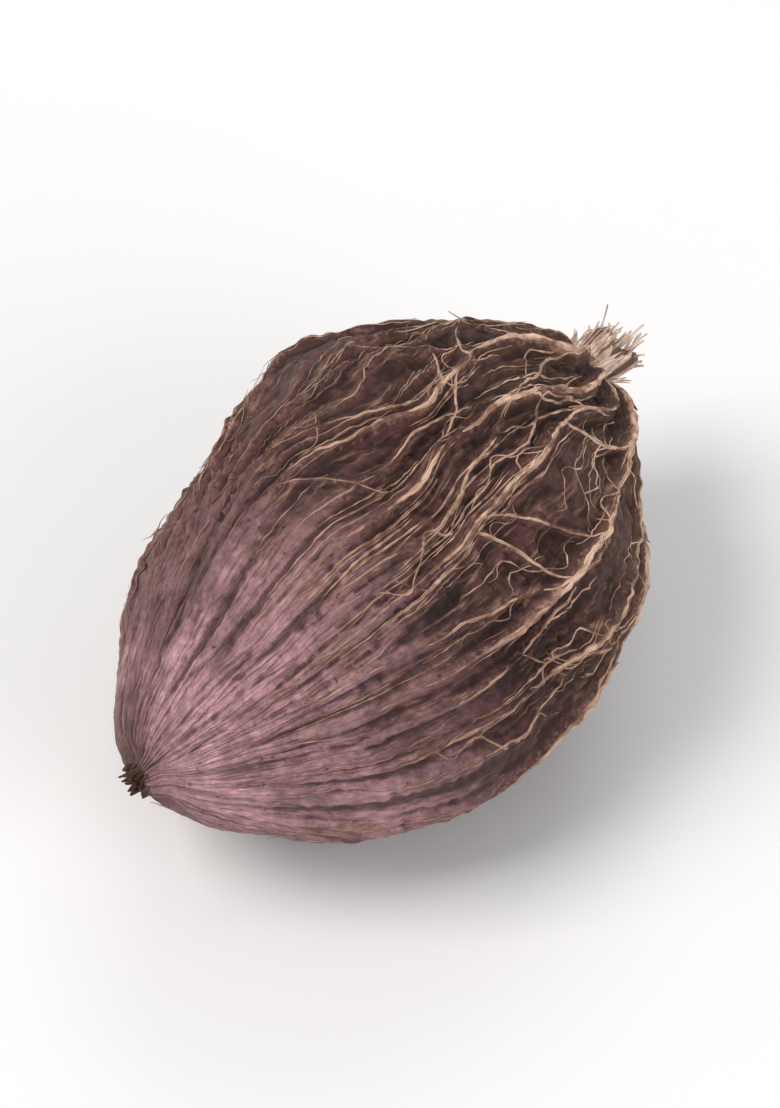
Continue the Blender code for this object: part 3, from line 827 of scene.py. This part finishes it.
CORD_RADIUS = 0.000105
CORD_SINK = 0.45  # how deep a cord's middle lies under the skin, as a share of its radius
CORD_LEAST_HEIGHT = 0.00010  # a strand lower than this has no cord
CORD_LEAST_ROWS = 8
CORD_TAPER = 0.35  # the power of the sine that thins a cord towards its ends
CORD_END = 0.015  # how near to zero and to pi that sine goes, as a share of pi
CORD_ON_GROUND = 0.04  # the share of its radius that a cord keeps where the pod touches the ground
GROUND_CLEARANCE = (0.0001, 0.0006)  # the heights over which a cord gets its full radius back
SLOW_KINK = 0.007  # in radians
FAST_KINK = 0.003
CORDS_BROKEN = 0.18  # the cords are broken up from here to the blunt end
CORDS_WHOLE = 0.52  # and unbroken from here to the stalk
CORDS_END = 0.985
CORD_SIDES = 8
FIBRE_SIDES = 6
HAIR_SIDES = 5


def cord_path(skin, rows, path, thickness):
    """A cord on the skin through the rows, sunk by a share of its radius. It tapers away at its ends and
    where the pod touches the ground."""
    centre, normal = skin_places(skin, rows, path[rows])
    t = np.clip(np.linspace(0.0, 1.0, len(rows)), CORD_END, 1.0 - CORD_END)
    thickness = thickness[rows] * np.sin(np.pi * t) ** CORD_TAPER
    free = smooth(centre[:, 2], *GROUND_CLEARANCE)
    thickness = thickness * (CORD_ON_GROUND + (1.0 - CORD_ON_GROUND) * free)
    return centre - normal * (CORD_SINK * thickness)[:, None], normal, thickness


def add_cords(paths, skin, shown, path, thickness):
    """Adds a strand's cords to the paths, one for each unbroken stretch of rows that is shown."""
    edges = np.flatnonzero(np.diff(np.concatenate([[False], shown, [False]]).astype(int)))
    for first, last in zip(edges[::2], edges[1::2]):
        if last - first >= CORD_LEAST_ROWS:
            paths.append(cord_path(skin, np.arange(first, last), path, thickness))


def cord_kinks(rng, along, slow, fast):
    """A cord's small kinks in radians: slow and fast waves that grow towards the stalk."""
    kinks = SLOW_KINK * wave(rng, along, *slow) + FAST_KINK * wave(rng, along, *fast)
    return kinks * kink_growth(along)


def build_cords(skin):
    """The pale cords of the ribs and the net: tubes half sunk in the crests, thick and unbroken near the
    stalk, thinner and broken up by the skin towards the blunt end."""
    rng = np.random.default_rng(SEED + 20)
    along = skin["along"]
    whole = smooth(along, CORDS_BROKEN, CORDS_WHOLE)
    paths = []
    for path, height, _ in skin["ribs"] + skin["net"]:
        cover = 0.5 + 0.5 * wave(rng, along, 3.0, 6.0) + 0.3 * wave(rng, along, 9.0, 14.0)
        shown = (height > CORD_LEAST_HEIGHT) & (cover > 0.75 - 0.85 * whole) & (along < CORDS_END)
        kinked = path + cord_kinks(rng, along, (12.0, 20.0), (25.0, 40.0))
        thickness = CORD_RADIUS * (0.25 + 0.75 * (height / RIB_HEIGHT) ** 1.5) * (0.45 + 0.55 * whole)
        uneven = 1.0 + 0.13 * wave(rng, along, 20.0, 40.0) + 0.08 * wave(rng, along, 45.0, 70.0)
        add_cords(paths, skin, shown, kinked, thickness * (1.0 - plainness(path)) * uneven)
    return tubes("rib_cords", paths, CORD_SIDES)


# A fine cord's radius, and the ranges of its middle and of its reach to each side, as shares of the length
FINE_CORD = (0.000043, (0.15, 0.80), (0.04, 0.13))
BUNDLE_CORD = (0.000052, (0.34, 0.56), (0.06, 0.15))
FINE_CORD_COUNT = 150  # with the bundle's
FINE_CORD_SPREAD = 0.10  # how far from a rib they lie, in radians
FINE_CORD_SLANT = 0.10  # in radians over the pod's length
BUNDLE_COUNT = 20
BUNDLE_SIDE = np.radians(110.0)
BUNDLE_SPREAD = np.radians(13.0)


def build_fine_cords(skin):
    """Thin, nearly straight cords of the husk that run beside the ribs, over its middle and its blunt half,
    and a bundle of thicker ones on the upper side."""
    rng = np.random.default_rng(SEED + 80)
    along = skin["along"]
    own_angle = skin["angle"][ROWS // 2]
    own_turn = skin["turn"][ROWS // 2]
    paths = []
    for i in range(FINE_CORD_COUNT):
        bundled = i < BUNDLE_COUNT
        radius, middles, reaches = BUNDLE_CORD if bundled else FINE_CORD
        if bundled:
            turn = np.interp(rng.normal(BUNDLE_SIDE, BUNDLE_SPREAD), own_angle, own_turn)
        else:
            turn = rng.normal(0.0, FINE_CORD_SPREAD) + RIB_SPACING * rng.integers(RIB_COUNT)
        middle = rng.uniform(*middles)
        reach = rng.uniform(*reaches)
        path = turn + FINE_CORD_SLANT * rng.uniform(-1.0, 1.0) * (along - middle)
        path = skin_turn_angle(skin, path) + cord_kinks(rng, along, (5.0, 9.0), (20.0, 30.0))
        thickness = radius * rng.uniform(0.5, 1.15) * (1.0 + 0.3 * wave(rng, along, 20.0, 50.0))
        add_cords(paths, skin, np.abs(along - middle) < reach, path, thickness * (1.0 - plainness(path)))
    return tubes("fine_cords", paths, FIBRE_SIDES)


FILAMENT_COUNT = 90
FILAMENT_RADIUS = 0.000043
FILAMENTS_FROM = 0.36
FILAMENTS_SPAN = 0.50
FILAMENT_SLANT = 2.0  # in radians over the pod's length
FILAMENT_KINK = 0.045  # in radians
FAST_FILAMENT_KINK = 0.020


def build_filaments(skin):
    """The fine kinked filaments of the net between the ribs, most of them in the half with the stalk. Each
    wanders about a slanting line by waves of two lengths."""
    rng = np.random.default_rng(SEED + 60)
    along = skin["along"]
    paths = []
    for _ in range(FILAMENT_COUNT):
        middle = FILAMENTS_FROM + FILAMENTS_SPAN * rng.uniform() ** 0.7
        reach = rng.uniform(0.04, 0.11)
        slant = rng.uniform(-FILAMENT_SLANT, FILAMENT_SLANT)
        path = rng.uniform(0.0, 2.0 * np.pi) + slant * (along - middle)
        kinks = FILAMENT_KINK * wave(rng, along, 6.0, 10.0)
        kinks = kinks + FAST_FILAMENT_KINK * wave(rng, along, 14.0, 20.0)
        path = skin_turn_angle(skin, path) + kinks
        thickness = FILAMENT_RADIUS * rng.uniform(0.55, 1.2) * (1.0 + 0.3 * wave(rng, along, 25.0, 50.0))
        add_cords(paths, skin, np.abs(along - middle) < reach, path, thickness * (1.0 - plainness(path)))
    return tubes("net_filaments", paths, FIBRE_SIDES)


FIBRE_STEPS = 12
FIBRE_CURL = 0.30
FIBRE_TAPER = 0.50  # the share of its radius that a fibre loses towards its tip
STALK_FIBRES = 90
STALK_FIBRE_LENGTH = 0.00105
STALK_FIBRE_RADIUS = 0.000060
STALK_FIBRE_SPLAY = 0.48
STALK_ROOT_DEPTHS = (0.0006, 0.0014)  # inwards from the pod's far end
STALK_ROOT_ROW = ROWS - 12
SHEATH_CORDS = 64
SHEATH_CORD_RADIUS = 0.000080
STUB_FOOT_SHARE = 0.12  # the stub's foot is where it has this share of the radius
SCAR_FIBRES = 40
SCAR_FIBRE_LENGTH = 0.00036
SCAR_FIBRE_RADIUS = 0.000085
SCAR_FIBRE_SPLAY = 0.35
SCAR_ROOT_ROW = 4
SCAR_ROOT_DEPTH = 0.0001


def fibre_tuft(rng, roots, outward_ways, main_way, lengths, radii, splay):
    """Tapering fibres from their roots: each runs along the main way, leans outwards with the square of the
    way along it, and curls sideways by a sine. Returns paths for tubes."""
    steps = np.linspace(0.0, 1.0, FIBRE_STEPS)[:, None]
    paths = []
    for root, way, length, radius in zip(roots, outward_ways, lengths, radii):
        lean = splay * rng.uniform(-0.4, 1.0)
        sideways = np.cross(main_way, way)
        bend = FIBRE_CURL * rng.uniform(-1.0, 1.0)
        swirl = bend * np.sin(2.2 * steps + rng.uniform(0.0, 6.0)) - bend * np.sin(rng.uniform(0.0, 6.0))
        centre = root + length * (steps * main_way + lean * steps**2 * way + 0.5 * swirl * steps * sideways)
        taper = radius * (1.0 - FIBRE_TAPER * steps[:, 0] ** 1.5)
        paths.append((centre, np.broadcast_to(way, centre.shape), taper))
    return paths


def ways_round(rng, count):
    """Random directions square to the pod's axis."""
    turn = rng.uniform(0.0, 2.0 * np.pi, count)
    return np.stack([np.zeros(count), np.cos(turn), np.sin(turn)], axis=-1)


def row_centre(skin, row):
    """The middle of one of the grid's rows."""
    return skin["points"][row].mean(axis=0)


def stub_foot(skin):
    """The row at the foot of the stub."""
    return np.flatnonzero(skin["share"] > STUB_FOOT_SHARE)[0]


def build_stalk_fibres(skin):
    """The stub's fibres: a sheath of cords that run along it, and torn ends that stick out past its rim."""
    rng = np.random.default_rng(SEED + 30)
    ways = ways_round(rng, STALK_FIBRES)
    inward = rng.uniform(0.15, 1.0, STALK_FIBRES)[:, None]
    roots = row_centre(skin, STALK_ROOT_ROW) + ways * STUB_RADIUS * inward
    roots[:, 0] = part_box("pod")[1][0] - rng.uniform(*STALK_ROOT_DEPTHS, STALK_FIBRES)
    lengths = STALK_FIBRE_LENGTH * rng.uniform(0.45, 1.15, STALK_FIBRES)
    radii = STALK_FIBRE_RADIUS * rng.uniform(0.5, 1.3, STALK_FIBRES)
    paths = fibre_tuft(rng, roots, ways, np.array([1.0, 0.0, 0.0]), lengths, radii, STALK_FIBRE_SPLAY)
    rim = skin["points"][..., 0].mean(axis=1).argmax()
    for _ in range(SHEATH_CORDS):
        rows = np.arange(stub_foot(skin) + rng.integers(0, 8), rim - rng.integers(0, 4))
        path = rng.uniform(0.0, 2.0 * np.pi) + 0.10 * wave(rng, np.linspace(0.0, 1.0, ROWS), 8.0, 14.0)
        thickness = np.full(ROWS, SHEATH_CORD_RADIUS * rng.uniform(0.5, 1.2))
        paths.append(cord_path(skin, rows, path, thickness))
    return tubes("stalk_fibres", paths, FIBRE_SIDES)


def build_scar_fibres(skin):
    """Short withered fibres that ring the flower scar."""
    rng = np.random.default_rng(SEED + 40)
    ways = ways_round(rng, SCAR_FIBRES)
    centre = row_centre(skin, SCAR_ROOT_ROW)
    roots = centre + ways * SCAR_NUB_RADIUS * rng.uniform(0.25, 0.95, SCAR_FIBRES)[:, None]
    roots[:, 0] = centre[0] + SCAR_ROOT_DEPTH
    lengths = SCAR_FIBRE_LENGTH * rng.uniform(0.4, 1.1, SCAR_FIBRES)
    radii = SCAR_FIBRE_RADIUS * rng.uniform(0.6, 1.3, SCAR_FIBRES)
    paths = fibre_tuft(rng, roots, ways, np.array([-1.0, 0.0, 0.0]), lengths, radii, SCAR_FIBRE_SPLAY)
    return tubes("scar_fibres", paths, FIBRE_SIDES)


def sheet_grid(along_steps, across_steps):
    """A sheet's two parameters, u from 0 to 1 and v from -1 to 1, and the quads between its points."""
    lengthwise = np.linspace(0.0, 1.0, along_steps)
    u, v = np.meshgrid(lengthwise, np.linspace(-1.0, 1.0, across_steps), indexing="ij")
    own = np.arange(u.size).reshape(u.shape)
    quads = np.stack([own[:-1, :-1], own[1:, :-1], own[1:, 1:], own[:-1, 1:]], axis=-1).reshape(-1, 4)
    return u, v, quads


def sheets(name, grids, u, v, quads, thickness):
    """A piece made of thin sheets, each a grid of points over u and v. Its strand attribute is (m u, k v, 0)
    plus a step for each sheet."""
    faces = np.concatenate([quads + i * u.size for i in range(len(grids))]).tolist()
    strand = np.stack([u, STREAKS_ACROSS * v, np.zeros(u.shape)], axis=-1).reshape(-1, 3)
    made = mesh_object(name, np.concatenate([grid.reshape(-1, 3) for grid in grids]), faces)
    strands = [strand + STREAK_STEP * i for i in range(len(grids))]
    set_attribute(made, "strand", np.concatenate(strands))
    shell = made.modifiers.new("thickness", "SOLIDIFY")
    shell.thickness = thickness
    return made


SCRAP_ANGLES = np.radians((34.0, 96.0, 138.0, 196.0, 262.0, 318.0))
SCRAP_LENGTH = 0.00115
SCRAP_HALF_WIDTH = 0.00024
SCRAP_LEAN = 0.75
SCRAP_NOTCH = 0.35  # how deep its end is torn, as a share of its length
SCRAP_NARROWING = 0.45
SCRAP_CUP = 0.45  # as a share of its half width
SCRAP_RIPPLE = 0.05  # as a share of its length
SCRAP_THICKNESS = 0.000025
SCRAP_STEPS = (12, 9)


def build_bract_scraps(skin):
    """Torn scraps of the papery bract round the foot of the stub. Each leans outwards with the square of the
    way along it, narrows towards its ragged end, which a sine across it cuts, and is cupped by the square of
    the way across it."""
    rng = np.random.default_rng(SEED + 90)
    u, v, quads = sheet_grid(*SCRAP_STEPS)
    grids = []
    for angle in SCRAP_ANGLES:
        row = stub_foot(skin) + rng.integers(3, 10)
        root, _ = skin_places(skin, np.array([row]), np.array([angle]))
        way = np.array([0.0, np.cos(angle), np.sin(angle)])
        round_way = np.array([0.0, -np.sin(angle), np.cos(angle)])
        length = SCRAP_LENGTH * rng.uniform(0.6, 1.1)
        torn = np.abs(np.sin(rng.uniform(2.5, 4.5) * v + rng.uniform(0.0, 3.0)))
        reach = u * (1.0 - SCRAP_NOTCH * torn)
        lean = SCRAP_LEAN * rng.uniform(0.35, 1.0) * reach**2 + SCRAP_RIPPLE * np.sin(7.0 * reach + 2.0 * v)
        half_width = SCRAP_HALF_WIDTH * rng.uniform(0.7, 1.2) * (1.0 - SCRAP_NARROWING * u**1.5)
        outwards = length * lean - SCRAP_CUP * half_width * v**2
        sheet = root + length * reach[..., None] * np.array([1.0, 0.0, 0.0])
        grids.append(sheet + outwards[..., None] * way + (half_width * v)[..., None] * round_way)
    return sheets("bract_scraps", grids, u, v, quads, SCRAP_THICKNESS)


FLAKE_COUNT = 80
FLAKE_LENGTH = 0.00070
FLAKE_WIDTH = 0.000050
FLAKE_CURL = 0.00009
FLAKE_TROUGH = 0.4  # as a share of its width
FLAKE_THICKNESS = 0.000016
FLAKE_SINK = 0.00001
FLAKE_APART = 0.07  # how far from a rib it lies, in radians
FLAKE_TURN = 0.25  # how far it turns off the rib's way, in radians
FLAKE_LOWEST = 0.0012
FLAKE_ROWS = (110, ROWS - 30)
FLAKE_STEPS = (8, 5)


def build_flakes(skin):
    """Papery scales of husk that peel off beside the ribs. Each is a small sheet, narrowed towards its loose
    end, whose height over the skin grows with the square of the way along it."""
    rng = np.random.default_rng(SEED + 70)
    u, v, quads = sheet_grid(*FLAKE_STEPS)
    grids = []
    while len(grids) < FLAKE_COUNT:
        rows = rng.integers(*FLAKE_ROWS) + np.arange(2)
        path = skin["ribs"][rng.integers(RIB_COUNT)][0][rows] + rng.uniform(-FLAKE_APART, FLAKE_APART)
        centre, normal = skin_places(skin, rows, path)
        if centre[0, 2] < FLAKE_LOWEST:
            continue
        rib_way = unit(centre[1] - centre[0]) * rng.choice([-1.0, 1.0])
        rib_side = np.cross(normal[0], rib_way)
        turn = rng.uniform(-FLAKE_TURN, FLAKE_TURN)
        way = rib_way * np.cos(turn) + rib_side * np.sin(turn)
        side = rib_side * np.cos(turn) - rib_way * np.sin(turn)
        length = FLAKE_LENGTH * rng.uniform(0.4, 1.3)
        width = FLAKE_WIDTH * rng.uniform(0.5, 1.3) * (0.35 + 0.65 * np.sin(np.pi * (0.15 + 0.8 * u)))
        lift = FLAKE_CURL * rng.uniform(0.2, 1.2) * u**2
        lift = lift + FLAKE_TROUGH * width * v**2 * rng.uniform(-1.0, 1.0) - FLAKE_SINK
        sheet = centre[0] + length * u[..., None] * way + (width * v)[..., None] * side
        grids.append(sheet + lift[..., None] * normal[0])
    return sheets("skin_flakes", grids, u, v, quads, FLAKE_THICKNESS)


HAIR_COUNT = 170
HAIR_RADIUS = 0.000019
HAIR_LIFT = 0.00022
HAIR_APART = 0.05  # how far from a rib it lies, in radians
HAIR_DRIFT = 0.06  # how far it drifts off on its way, in radians
HAIR_STARTS = (20, ROWS - 60)
HAIR_ROWS = (12, 34)
HAIR_END = 0.04


def build_loose_hairs(skin):
    """Fine hairs of husk that have come away: each lies along a rib and lifts off the skin at one end."""
    rng = np.random.default_rng(SEED + 50)
    paths = []
    for _ in range(HAIR_COUNT):
        path = skin["ribs"][rng.integers(RIB_COUNT)][0] + rng.uniform(-HAIR_APART, HAIR_APART)
        first = rng.integers(*HAIR_STARTS)
        rows = np.arange(first, first + rng.integers(*HAIR_ROWS))
        t = np.linspace(0.0, 1.0, len(rows))
        drift = rng.uniform(-HAIR_DRIFT, HAIR_DRIFT) * t**2
        centre, normal = skin_places(skin, rows, path[rows] + drift)
        lift = HAIR_LIFT * rng.uniform(0.2, 1.2) * (t if rng.uniform() < 0.5 else 1.0 - t) ** 2.5
        taper = 0.3 + 0.7 * np.sin(np.pi * np.clip(t, HAIR_END, 1.0 - HAIR_END))
        thickness = HAIR_RADIUS * rng.uniform(0.7, 1.4) * taper
        paths.append((centre + normal * lift[:, None], normal, thickness))
    return tubes("loose_hairs", paths, HAIR_SIDES)


FLOOR_REACH = 3.0
FLOOR_GAP = 0.00001  # below the flat spot, so that the two never share a plane
FLOOR_ROUGHNESS = 0.75


def build_floor():
    """A plain pale floor under the pod."""
    corners = FLOOR_REACH * np.array([(-1.0, -1.0, 0.0), (1.0, -1.0, 0.0), (1.0, 1.0, 0.0), (-1.0, 1.0, 0.0)])
    floor = mesh_object("floor", corners, [(0, 1, 2, 3)])
    floor.location.z = -FLOOR_GAP
    material, _, shader = new_material("floor_white")
    shader.inputs["Base Color"].default_value = linear(FLOOR_WHITE)
    shader.inputs["Roughness"].default_value = FLOOR_ROUGHNESS
    floor.data.materials.append(material)


def view_vector(azimuth, elevation):
    """The unit vector from the pod towards a viewer at that azimuth and elevation, in degrees."""
    a = math.radians(azimuth)
    e = math.radians(elevation)
    return np.array([math.sin(a) * math.cos(e), -math.cos(a) * math.cos(e), math.sin(e)])


def aim(holder, offset):
    """Puts an object at an offset from the pod's middle and turns its -Z to face the pod."""
    centre = (np.array(cad_bounds[0]) + np.array(cad_bounds[1])) / 2
    holder.location = centre + offset
    holder.rotation_euler = Vector(-offset).to_track_quat("-Z", "Y").to_euler()


def add_light(name, azimuth, elevation, distance, size, power, colour):
    """A square area light that faces the pod from a direction."""
    light = bpy.data.lights.new(name, "AREA")
    light.size = size
    light.energy = power
    light.color = colour
    aim(scene_object(name, light), view_vector(azimuth, elevation) * distance)


# Each light's azimuth from the camera's, elevation, distance, size, power and colour
LIGHTS = (
    ("key", -75.0, 56.0, 0.75, 0.38, 3.7, (1.0, 0.98, 0.96)),
    ("fill", 50.0, 30.0, 0.80, 0.50, 2.3, (0.97, 0.96, 1.0)),
    ("back", 170.0, 40.0, 0.80, 0.45, 1.2, (1.0, 1.0, 1.0)),
)
SURROUND_COLOUR = (0.93, 0.95, 1.0, 1.0)
SURROUND_STRENGTH = 0.46


def light_scene():
    """Soft studio light: a large key from the upper left of the view, a weaker fill from its right, a low
    light from behind, and a pale surround."""
    for name, turn, *rest in LIGHTS:
        add_light(name, VIEW_AZIMUTH + turn, *rest)
    world = bpy.data.worlds.new("surround")
    world.use_nodes = True
    background = world.node_tree.nodes["Background"]
    background.inputs["Color"].default_value = SURROUND_COLOUR
    background.inputs["Strength"].default_value = SURROUND_STRENGTH
    bpy.context.scene.world = world


def place_camera():
    """A long lens at the photograph's viewing angle."""
    camera = bpy.data.cameras.new("camera")
    camera.sensor_width = SENSOR_SIZE
    camera.lens = SENSOR_SIZE * CAMERA_DISTANCE / FRAME_HEIGHT
    camera.clip_start = 0.01
    camera.clip_end = 10.0
    holder = scene_object("camera", camera)
    aim(holder, view_vector(VIEW_AZIMUTH, VIEW_ELEVATION) * CAMERA_DISTANCE)
    bpy.context.scene.camera = holder


def main():
    skin = husk_surface()
    straw = fibre_material("straw_fibre", FIBRE_STRAW, FIBRE_BROWN)
    withered = fibre_material("withered_fibre", SCAR_BROWN, SKIN_DARK)
    papery = fibre_material("papery_scale", PAPER_TAN, SKIN_MIDDLE)
    bleached = fibre_material("bleached_fibre", FIBRE_BLEACHED, PAPER_TAN)
    dressed = (
        (build_husk(skin), husk_material()),
        (build_cords(skin), straw),
        (build_fine_cords(skin), straw),
        (build_filaments(skin), straw),
        (build_flakes(skin), papery),
        (build_stalk_fibres(skin), bleached),
        (build_bract_scraps(skin), bleached),
        (build_scar_fibres(skin), withered),
        (build_loose_hairs(skin), straw),
    )
    for piece, material in dressed:
        piece.data.materials.append(material)
        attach(piece, "root")
        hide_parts("pod")
    build_floor()
    light_scene()
    place_camera()
    bpy.context.scene.view_settings.view_transform = "Standard"


main()
